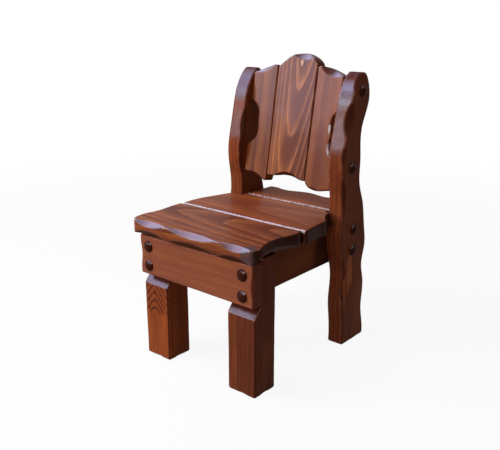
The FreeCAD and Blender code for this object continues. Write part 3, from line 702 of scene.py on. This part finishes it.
@dataclass
class HewnPlank:
    """One plank of the chair, softened by hand tools from the sawn shape of its CAD node."""

    node: str
    finish: StainedPine
    slot: str = "stained_pine"
    chamfers: tuple[Chamfer, ...] = ()
    # The worked surface, in metres.
    merge_distance: float = 0.00001
    voxel: float = 0.0016
    relax_share: float = 0.5
    relax_rounds: int = 3
    waver_depth: float = 0.0009
    waver_length: float = 0.055
    # The arrises: the bend that makes one, and how far its mark spreads.
    sharp_bend: float = 0.12
    spread_rounds: int = 2
    plain_arrises: float = 0.0
    # When a face counts as hewn, and as one that looks forward, up, down, to the front or to the right.
    facet_degrees: Span = (15.0, 26.0)
    forward: Span = (0.08, 0.48)
    upward: Span = (-1 / 15, 4 / 15)
    downward: Span = (-0.12, -0.52)
    frontal: Span = (0.04, -0.36)
    rightward: Span = (0.0, 2 / 3)
    lee: float = 1.4
    # Painted shade in the gap before a board, on what looks straight to the front.
    seam_facing: Span = (-0.85, -0.95)
    seam_painted_shade: float = 0.0

    def build(self) -> bpy.types.Object:
        """Models the plank, dresses it and sets it on the chair.

        Returns:
            The finished piece.
        """
        plank = self.rough_copy()
        self.soften(plank)
        self.mark(plank)
        plank.data.materials.clear()
        plank.data.materials.append(self.finish.material())
        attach(plank, BODY)
        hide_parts(self.node)
        LOG.info("plank %s: %d faces", plank.name, len(plank.data.polygons))
        return plank

    def rough_copy(self) -> bpy.types.Object:
        """Copies the node's mesh, merges its loose triangles and cuts its chamfers.

        Returns:
            The copy.
        """
        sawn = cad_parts[self.node].data.copy()
        plank = bpy.data.objects.new("hewn_" + self.node, sawn)
        bpy.context.scene.collection.objects.link(plank)
        make_only_active(plank)
        bpy.ops.object.mode_set(mode="EDIT")
        bpy.ops.mesh.select_all(action="SELECT")
        bpy.ops.mesh.remove_doubles(threshold=self.merge_distance)
        for chamfer in self.chamfers:
            bpy.ops.mesh.select_all(action="SELECT")
            bpy.ops.mesh.bisect(
                plane_co=chamfer.point,
                plane_no=chamfer.outward,
                use_fill=True,
                clear_outer=True,
            )
        bpy.ops.object.mode_set(mode="OBJECT")
        return plank

    def soften(self, plank: bpy.types.Object) -> None:
        """Rubs the arrises round and lets the planed faces waver.

        Args:
            plank: The merged copy.
        """
        remesh = plank.modifiers.new("fine_skin", "REMESH")
        remesh.mode = "VOXEL"
        remesh.voxel_size = self.voxel
        relax = plank.modifiers.new("rubbed_arrises", "SMOOTH")
        relax.factor = self.relax_share
        relax.iterations = self.relax_rounds
        marks = bpy.data.textures.new("tool_marks_" + self.node, "CLOUDS")
        marks.noise_scale = self.waver_length
        waver = plank.modifiers.new("tool_marks", "DISPLACE")
        waver.texture = marks
        waver.texture_coords = "LOCAL"
        waver.strength = self.waver_depth
        for name in [modifier.name for modifier in plank.modifiers]:
            bpy.ops.object.modifier_apply(modifier=name)
        bpy.ops.object.shade_smooth()

    def mark(self, plank: bpy.types.Object) -> None:
        """Marks what the finish needs to know of the mesh.

        The arrises count on the front, and not where they look right or down; their pale colour
        is worn wood, and on some planks painted highlight. Varnish lies thicker on hewn facets that
        look forward and up. What looks to the right or down lies in the lee, and is matt. Painted
        shade darkens hewn facets that look to the right, undersides and the gaps before boards.

        Args:
            plank: The softened plank, whose mesh gets the attributes.
        """
        mesh = plank.data
        places = read_rows(mesh.vertices, "co", 3)
        normals = read_rows(mesh.vertices, "normal", 3)
        edges = read_rows(mesh.edges, "vertices", 2, np.int64)
        right, back, up = normals.T
        bend = ((places - mean_of_neighbours(places, edges)) * normals).sum(1) / self.voxel
        arris = step(bend, (0.0, self.sharp_bend))
        for _ in range(self.spread_rounds):
            arris = (arris + mean_of_neighbours(arris, edges)) / 2
        square_to_hewn = tuple(math.cos(math.radians(angle)) for angle in self.facet_degrees)
        oblique = step(np.abs(normals).max(1), square_to_hewn) * (1.0 - arris * self.plain_arrises)
        away = np.clip(self.lee * right, 0.0, 1.0)
        underside = step(up, self.downward)
        lit = step(up, self.upward) * step(-back, self.forward)
        # Painted shade on what looks straight to the front, in the gap before a board.
        seam_shade = step(back, self.seam_facing) * self.seam_painted_shade
        # Painted shade on hewn facets that look to the right.
        painted_shade = oblique * step(right, self.rightward)
        marks = {
            ARRIS: arris * step(back, self.frontal) * (1.0 - away) * (1.0 - underside),
            HEWN: oblique * lit * (1.0 - away),
            LEE: np.maximum(away, underside),
            PAINTED_SHADE: np.maximum(painted_shade, np.maximum(underside, seam_shade)),
        }
        for name, values in marks.items():
            layer = mesh.attributes.new(name, "FLOAT", "POINT")
            layer.data.foreach_set("value", values.astype(np.float32))


@dataclass
class SideFrame:
    """A front leg, a back post and the side rail between them."""

    side: Side
    top_corner: Chamfer = Chamfer(point=(0.154, 0.1135, 0.53), outward=(0.64, -0.554, 0.533))
    rail_pith_rise: float = 0.1
    rail_shade_depth: float = 0.085
    rail_shade_sizes: Place = (0.03, 0.05, 0.1)
    rail_painted_shade: Colour = (0.02, 0.004, 0.003)
    left_leg_heart: float = 0.004
    right_leg_heart: Span = (0.05, 0.09)
    post_pith_out: float = 0.2
    post_pith_height: float = 0.3
    side_flame: Colour = (0.5, 0.15, 0.055)

    def build(self) -> list[bpy.types.Object]:
        """Builds the three planks of one side."""
        return [plank.build() for plank in self.planks()]

    def planks(self) -> list[HewnPlank]:
        """The three planks: of the posts, only the right one has its top corner cut off.

        Returns:
            The planks, to be built.
        """
        left = self.side is Side.LEFT
        post = HewnPlank(
            "back_post_" + self.side.value,
            self.post_wood(),
            facet_degrees=(7.0, 16.0),
            forward=(0.6, 0.8) if left else (0.76, 0.86),
            lee=0.7,
            plain_arrises=1.0,
            chamfers=() if left else (self.top_corner,),
        )
        leg = HewnPlank("front_leg_" + self.side.value, self.leg_wood(), lee=0.8)
        return [leg, post, HewnPlank("side_rail_" + self.side.value, self.rail_wood())]

    def rail_wood(self) -> StainedPine:
        """The rail is plain, with its grain along it, and has painted shade at the rear.

        Returns:
            The wood.
        """
        low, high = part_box("side_rail_" + self.side.value)
        # Painted shade: a dark spot at the rear of the rail, by the post.
        painted_shade_end = Spot(
            middle=(high.x, self.rail_shade_depth, low.z),
            half_sizes=self.rail_shade_sizes,
            colour=self.rail_painted_shade,
            share=0.75,
        )
        return StainedPine(
            "pine_rail_" + self.side.value,
            grain=(0.0, 1.0, 0.02),
            pith=(low.x, 0.0, high.z + self.rail_pith_rise),
            contrast=0.12,
            early=(0.14, 0.034, 0.015),
            spots=(painted_shade_end,),
        )

    def leg_wood(self) -> StainedPine:
        """The left leg is light with flames under its shoulder, and the right one dark and plain.

        Returns:
            The wood.
        """
        low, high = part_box("front_leg_" + self.side.value)
        if self.side is Side.LEFT:
            heart = (low.x + high.x) / 2 - self.left_leg_heart
            return FiguredPine(
                "pine_leg_left",
                grain=(0.0, 0.0, 1.0),
                pith=(heart, low.y + self.left_leg_heart, 0.0),
                ring=0.013,
                taper=-0.8,
                contrast=1.0,
                sharpness=0.8,
                wander=0.01,
                waver=0.7,
                hewn_gloss=0.8,
                early=(0.1, 0.022, 0.01),
                late=(0.385, 0.098, 0.029),
                front=low.y,
            )
        inward, behind = self.right_leg_heart
        return StainedPine(
            "pine_leg_right",
            grain=(0.02, 0.01, 1.0),
            pith=(low.x - inward, low.y + behind, 0.0),
            ring=0.009,
            contrast=0.1,
            sharpness=1.2,
            streaks=0.5,
            early=(0.128, 0.033, 0.017),
            pale=(0.5, 0.16, 0.06),
            wear=0.6,
            rub_start=0.5,
        )

    def post_wood(self) -> StainedPine:
        """The posts show straight stripes on their narrow fronts, and the right one is darker.

        Returns:
            The wood.
        """
        low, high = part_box("back_post_" + self.side.value)
        light = self.side is Side.LEFT
        outer = low.x if light else high.x
        flames = (
            Spot((high.x, 0.128, 0.166), (0.02, 0.013, 0.048), self.side_flame, share=0.8),
            Spot((high.x, 0.112, 0.118), (0.02, 0.004, 0.045), self.side_flame, share=0.5),
        )
        pith_across = outer + math.copysign(self.post_pith_out, outer)
        return StainedPine(
            "pine_post_" + self.side.value,
            grain=(0.0, 0.06, 1.0),
            pith=(pith_across, (low.y + high.y) / 2, self.post_pith_height),
            ring=0.011,
            contrast=0.4 if light else 0.35,
            sharpness=1.2,
            early=(0.21, 0.048, 0.0175) if light else (0.19, 0.045, 0.019),
            late=(0.5, 0.15, 0.04),
            # Pale lavender-white on the arrises is worn wood and painted highlight, standing for glints.
            pale=(0.6, 0.55, 0.6),
            wear=0.6,
            rub_start=0.7 if light else 0.55,
            stain=(0.05, 0.012, 0.007),
            hewn_stain=0.95,
            hewn_gloss=0.75 if light else 1.0,
            # Painted shade: the left post's inner side, which looks right, is darkened in the lee.
            lee_painted_shade=0.5 if light else 0.0,
            coat_ior=1.5 if light else 1.6,
            spots=() if light else flames,
        )


@dataclass
class SeatFrame:
    """The front apron, the rear rail and the two cleats under the seat."""

    apron_heart: Span = (0.05, 0.06)
    rear_heart_drop: float = 0.05
    cleat_heart_aside: float = 0.05

    def build(self) -> list[bpy.types.Object]:
        """Builds the planks that the seat rests on."""
        return [plank.build() for plank in self.planks()]

    def planks(self) -> list[HewnPlank]:
        """The cross pieces have their grain across the chair, and the cleats along it.

        Returns:
            The planks, to be built.
        """
        _, apron_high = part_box("front_apron")
        rear_low, rear_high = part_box("rear_rail")
        behind, above = self.apron_heart
        apron = StainedPine(
            "pine_apron",
            grain=(1.0, 0.02, 0.03),
            pith=(0.0, apron_high.y + behind, apron_high.z + above),
            ring=0.014,
            contrast=0.2,
            sharpness=1.0,
            streaks=0.25,
            early=(0.265, 0.073, 0.031),
            stain=(0.13, 0.037, 0.022),
            gloss=0.25,
            wear=0.1,
            arris_gloss=0.1,
        )
        rear = StainedPine(
            "pine_rear_rail",
            grain=(1.0, 0.02, 0.05),
            pith=(0.0, rear_high.y, rear_low.z - self.rear_heart_drop),
        )
        made = [HewnPlank("front_apron", apron, plain_arrises=1.0), HewnPlank("rear_rail", rear)]
        for side in Side:
            low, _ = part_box("seat_cleat_" + side.value)
            heart = (low.x - self.cleat_heart_aside, 0.0, low.z)
            cleat = StainedPine("pine_cleat_" + side.value, grain=(0.0, 1.0, 0.0), pith=heart)
            made.append(HewnPlank("seat_cleat_" + side.value, cleat))
        return made


@dataclass
class Seat:
    """The three seat boards."""

    pith_drop: float = 0.11
    gloss: float = 0.08
    rear_gloss: float = 0.015
    stain: Colour = (0.03, 0.008, 0.005)
    # Painted shade with a painted lavender sheen on the front board's right corner.
    painted_shade_corner: Spot = Spot(
        middle=(0.148, -0.2, 0.285),
        half_sizes=(0.016, 0.04, 0.04),
        colour=(0.056, 0.044, 0.052),
        share=0.75,
    )

    def build(self) -> list[bpy.types.Object]:
        """Builds the boards, each with its own log."""
        return [plank.build() for plank in self.planks()]

    def board(self, row: Row, grain: Place, heart_share: float = 0.5, **looks: Any) -> HewnPlank:
        """One board with its pith under it.

        Args:
            row: Which board it is.
            grain: The direction of its fibres.
            heart_share: How far back the pith is, as a share of the board's depth.
            looks: Further fields of its wood.

        Returns:
            The board, to be built.
        """
        low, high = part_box("seat_board_" + row.value)
        pith = (0.0, low.y + heart_share * (high.y - low.y), high.z - self.pith_drop)
        wood = StainedPine("pine_" + row.value + "_board", grain, pith, stain=self.stain, **looks)
        # The middle and rear boards get painted shade in the gap before them.
        return HewnPlank("seat_board_" + row.value, wood, seam_painted_shade=0.0 if row is Row.FRONT else 1.0)

    def planks(self) -> list[HewnPlank]:
        """All boards have their grain across the chair, and pale lines of painted highlight mark the seams
        between them.

        Returns:
            The boards, to be built.
        """
        # Painted highlight: pale arrises along the joints between boards, with real gloss from the varnish.
        seam_painted_highlight = {"arris_gloss": 1.6, "pale": (0.46, 0.37, 0.37), "wear": 0.9, "rub_start": 0.42}
        front = self.board(
            Row.FRONT,
            grain=(1.0, 0.05, 0.09),
            heart_share=0.75,
            ring=0.011,
            contrast=0.8,
            sharpness=1.2,
            wander=0.01,
            early=(0.14, 0.03, 0.012),
            late=(0.5, 0.15, 0.046),
            gloss=self.gloss,
            pale=(0.75, 0.58, 0.42),
            wear=0.7,
            rub_start=0.62,
            spots=(self.painted_shade_corner,),
        )
        middle = self.board(
            Row.MIDDLE,
            grain=(1.0, -0.03, 0.05),
            ring=0.016,
            contrast=0.35,
            sharpness=1.0,
            streaks=0.2,
            early=(0.225, 0.049, 0.0165),
            gloss=self.gloss,
            **seam_painted_highlight,
        )
        rear = self.board(
            Row.REAR,
            grain=(1.0, 0.02, 0.03),
            ring=0.012,
            contrast=0.3,
            early=(0.4, 0.105, 0.038),
            gloss=self.rear_gloss,
            **seam_painted_highlight,
        )
        return [front, middle, rear]


@dataclass
class Backrest:
    """The three slats between the posts."""

    lean_degrees: float = 9.7
    gloss: float = 0.46
    hewn_gloss: float = 0.5
    spot_depth: float = 0.02
    heart_depth: float = 0.057
    left_heart: float = 0.35
    right_heart: float = -0.3
    # The flames of the centre slat, whose log is turned a little against it.
    flame_degrees: float = 6.0
    flame_turn: float = 0.09
    flame_height: float = 0.526
    flame_offset: float = 0.01
    chip_height: float = 0.592
    chip_colour: Colour = (0.62, 0.36, 0.2)
    knot_aside: float = 0.006
    knot_below: float = 0.003

    def build(self) -> list[bpy.types.Object]:
        """Builds the slats, each with its own log."""
        return [plank.build() for plank in self.planks()]

    def planks(self) -> list[HewnPlank]:
        """The centre slat shows flames that point down, and the outer ones straight bands.

        Returns:
            The slats, to be built.
        """
        woods = {"centre": self.centre_wood(), "left": self.left_wood(), "right": self.right_wood()}
        return [HewnPlank("back_slat_" + place, wood) for place, wood in woods.items()]

    def front_at(self, height: float) -> float:
        """How far back the front of the slats is at a height."""
        low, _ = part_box("back_slat_centre")
        return low.y + (height - low.z) * math.tan(math.radians(self.lean_degrees))

    def heart_back(self) -> float:
        """How far back the pith of each slat's log is."""
        return self.front_at(self.flame_height) + self.heart_depth

    def up_at(self, degrees: float, aside: float = 0.0) -> Place:
        """The direction up along a lean, in degrees, turned aside a little."""
        return (aside, math.sin(math.radians(degrees)), math.cos(math.radians(degrees)))

    def centre_wood(self) -> StainedPine:
        """The centre slat, with a chip and a knot at its top.

        Returns:
            The wood.
        """
        chip = (self.flame_offset, self.front_at(self.chip_height), self.chip_height)
        knot = (chip[0] + self.knot_aside, chip[1], chip[2] - self.knot_below)
        return StainedPine(
            "pine_centre_slat",
            grain=self.up_at(self.flame_degrees, self.flame_turn),
            pith=(self.flame_offset, self.heart_back(), self.flame_height),
            ring=0.0062,
            phase=0.71,
            contrast=1.0,
            sharpness=4.5,
            streaks=0.2,
            wander=0.003,
            early=(0.14, 0.035, 0.013),
            late=(0.72, 0.265, 0.087),
            gloss=self.gloss,
            hewn_gloss=self.hewn_gloss,
            spots=(
                Spot(knot, (0.003, self.spot_depth, 0.004), StainedPine.stain, share=0.8),
                Spot(chip, (0.0035, self.spot_depth, 0.0075), self.chip_colour, share=0.9),
            ),
        )

    def left_wood(self) -> StainedPine:
        """The left slat, with broad soft bands.

        Returns:
            The wood.
        """
        return StainedPine(
            "pine_left_slat",
            grain=self.up_at(self.lean_degrees),
            pith=(self.left_heart, self.heart_back(), 0.0),
            ring=0.03,
            phase=0.62,
            contrast=0.65,
            sharpness=1.0,
            early=(0.13, 0.034, 0.0125),
            late=(0.42, 0.139, 0.039),
            gloss=self.gloss,
            hewn_gloss=self.hewn_gloss,
        )

    def right_wood(self) -> StainedPine:
        """The right slat, with faint bands and two painted highlights in its waist.

        Returns:
            The wood.
        """
        upper = (0.097, self.front_at(0.465), 0.465)
        lower = (0.1, self.front_at(0.425), 0.425)
        return StainedPine(
            "pine_right_slat",
            grain=self.up_at(self.lean_degrees),
            pith=(self.right_heart, self.heart_back(), 0.0),
            ring=0.04,
            contrast=0.35,
            sharpness=0.8,
            streaks=0.15,
            wear=0.7,
            early=(0.16, 0.04, 0.0145),
            late=(0.5, 0.165, 0.046),
            gloss=self.gloss,
            hewn_gloss=self.hewn_gloss,
            # Painted highlights: two pale lavender spots that stand for glints at the waist's edge.
            spots=(
                Spot(upper, (0.003, self.spot_depth, 0.01), (0.55, 0.52, 0.58), share=0.8),
                Spot(lower, (0.0045, self.spot_depth, 0.014), (0.5, 0.46, 0.52), share=0.8),
            ),
        )


@dataclass
class Fasteners:
    """The plugs, screws and dowels, whose CAD shapes stay as they are."""

    plug: TurnedWood = TurnedWood(
        "plug_wood", base=(0.038, 0.01, 0.007), streak=(0.075, 0.018, 0.011), roughness=0.35, glint=1.0
    )
    dowel: TurnedWood = TurnedWood(
        "dowel_wood", base=(0.6, 0.43, 0.26), streak=(0.5, 0.34, 0.19), roughness=0.6, glint=0.0
    )
    steel: ScrewSteel = ScrewSteel()
    plugs: tuple[str, ...] = ("apron_plugs", "post_plugs_left", "post_plugs_right")
    dowels: tuple[str, ...] = ("rail_dowels", "slat_dowels", "front_seat_dowels", "rear_seat_dowels")
    screws: tuple[str, ...] = ("apron_screws", "rail_screws", "slat_screws", "cleat_screws", "seat_screws")

    def dress(self) -> None:
        """Gives each group of fasteners its finish."""
        groups = ((self.plug, self.plugs), (self.dowel, self.dowels), (self.steel, self.screws))
        for finish, nodes in groups:
            material = finish.material()
            for node in nodes:
                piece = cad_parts[node]
                piece.data.materials.clear()
                piece.data.materials.append(material)
                LOG.info("fasteners %s: %s", node, material.name)


def turn_towards(place: Place, aim: Place) -> Any:
    """How a lamp or camera turns to look from one place at another."""
    return (Vector(aim) - Vector(place)).to_track_quat("-Z", "Y").to_euler()


@dataclass
class Softbox:
    """One large soft lamp that faces the chair."""

    name: str
    place: Place
    width: float
    radiance: float
    colour: Colour
    seen: Seen
    aim: Place = (0.0, 0.0, 0.3)

    def build(self) -> bpy.types.Object:
        """Makes the lamp and turns it to the chair.

        Returns:
            The lamp.
        """
        lamp = bpy.data.lights.new(self.name, "AREA")
        lamp.shape = "SQUARE"
        lamp.size = self.width
        lamp.energy = self.radiance * self.width ** 2 * math.pi
        lamp.color = self.colour
        made = bpy.data.objects.new(self.name, lamp)
        made.location = self.place
        made.visible_glossy = self.seen is Seen.MIRROR
        made.visible_diffuse = self.seen is Seen.LIGHT
        made.rotation_euler = turn_towards(self.place, self.aim)
        bpy.context.scene.collection.objects.link(made)
        return made


@dataclass
class Studio:
    """A pale floor, soft light and the camera at the photograph's viewing angle."""

    camera_place: Place = (0.8229, -0.9919, 0.657)
    camera_aim: Place = (-0.0002, -0.0161, 0.2731)
    lens: float = 46.67
    sensor: float = 36.0
    floor_half: float = 30.0
    floor_pale: Colour = (0.95, 0.95, 0.95)
    floor_dim: Colour = (0.34, 0.27, 0.23)
    near_glow: float = 0.92
    near_white: float = 0.9
    far_white: float = 2.6
    ambient: float = 0.12
    softboxes: list[Softbox] = field(
        default_factory=lambda: [
            Softbox("sky_panel", (-1.3, -0.23, 1.89), 2.2, 5.5, (0.53, 0.57, 1.0), Seen.MIRROR),
            Softbox("horizon_panel", (-1.5, -1.85, 1.32), 1.1, 5.0, (0.77, 0.77, 1.0), Seen.MIRROR),
            Softbox("glint_panel", (0.7, -1.05, 1.85), 0.9, 6.0, (1.0, 0.98, 1.0), Seen.MIRROR),
            Softbox("key_softbox", (-1.4, -1.7, 1.25), 0.9, 12.0, (1.0, 0.94, 0.9), Seen.LIGHT),
            Softbox("front_fill", (0.6, -2.2, 0.5), 1.0, 4.2, (1.0, 0.85, 0.7), Seen.LIGHT),
            Softbox("top_softbox", (-0.6, -0.7, 2.2), 1.0, 7.7, (0.95, 0.93, 0.95), Seen.LIGHT),
        ]
    )

    def build(self) -> None:
        """Sets up the whole studio."""
        for softbox in self.softboxes:
            softbox.build()
        self.lay_floor()
        self.light_world()
        self.aim_camera()
        bpy.context.scene.view_settings.view_transform = "Standard"
        LOG.info("studio: %d softboxes", len(self.softboxes))

    def lay_floor(self) -> None:
        """Lays the floor, white to the camera far away and with the chair's shadow near it."""
        bpy.ops.object.select_all(action="DESELECT")
        bpy.ops.mesh.primitive_plane_add(size=2 * self.floor_half)
        floor = bpy.context.active_object
        floor.name = "floor"
        graph = new_material("pale_floor")
        seen = self.seen_ray(graph)
        x, y = graph.parts(graph.place(), "XY")
        far = (x * x + y * y).root().ramp(self.near_white, self.far_white)
        colour = graph.mix(seen, self.floor_dim, self.floor_pale)
        matt = graph.node("ShaderNodeBsdfDiffuse", {}, {"Color": colour})
        white = graph.node("ShaderNodeEmission", {}, {"Color": rgba(WHITE), "Strength": 1.0})
        share = seen * (far * (1.0 - self.near_glow) + self.near_glow)
        mixed = graph.node("ShaderNodeMixShader", {}, {0: share, 1: matt.outputs[0], 2: white.outputs[0]})
        floor.data.materials.append(graph.finish(mixed.outputs[0]))

    def seen_ray(self, graph: ShaderGraph) -> Value:
        """Tells the rays that show the background: from the camera, in gloss and through glass.

        Args:
            graph: The shader of the floor or the world.

        Returns:
            1 on those rays, and 0 on the others.
        """
        path = graph.node("ShaderNodeLightPath", {}, {})
        rays = ("Is Camera Ray", "Is Glossy Ray", "Is Transmission Ray")
        camera, glossy, through = (Value(graph, path.outputs[ray]) for ray in rays)
        return camera.larger(glossy).larger(through)

    def light_world(self) -> None:
        """A white background that lights the chair only a little."""
        world = bpy.data.worlds.new("pale_world")
        bpy.context.scene.world = world
        graph = ShaderGraph(world)
        strength = self.seen_ray(graph) * (1.0 - self.ambient) + self.ambient
        back = graph.node("ShaderNodeBackground", {}, {"Color": rgba(WHITE), "Strength": strength})
        graph.finish(back.outputs[0])

    def aim_camera(self) -> None:
        """Puts the camera where the photograph was taken from."""
        lens = bpy.data.cameras.new("camera")
        lens.lens = self.lens
        lens.sensor_width = self.sensor
        lens.sensor_fit = "HORIZONTAL"
        camera = bpy.data.objects.new("camera", lens)
        camera.location = self.camera_place
        camera.rotation_euler = turn_towards(self.camera_place, self.camera_aim)
        bpy.context.scene.collection.objects.link(camera)
        bpy.context.scene.camera = camera


def main() -> None:
    """Builds the chair from the floor up, then the studio."""
    logging.basicConfig(level=logging.INFO, format="%(name)s: %(message)s")
    for side in Side:
        SideFrame(side).build()
    SeatFrame().build()
    Seat().build()
    Backrest().build()
    Fasteners().dress()
    Studio().build()


if __name__ == "__main__":
    main()
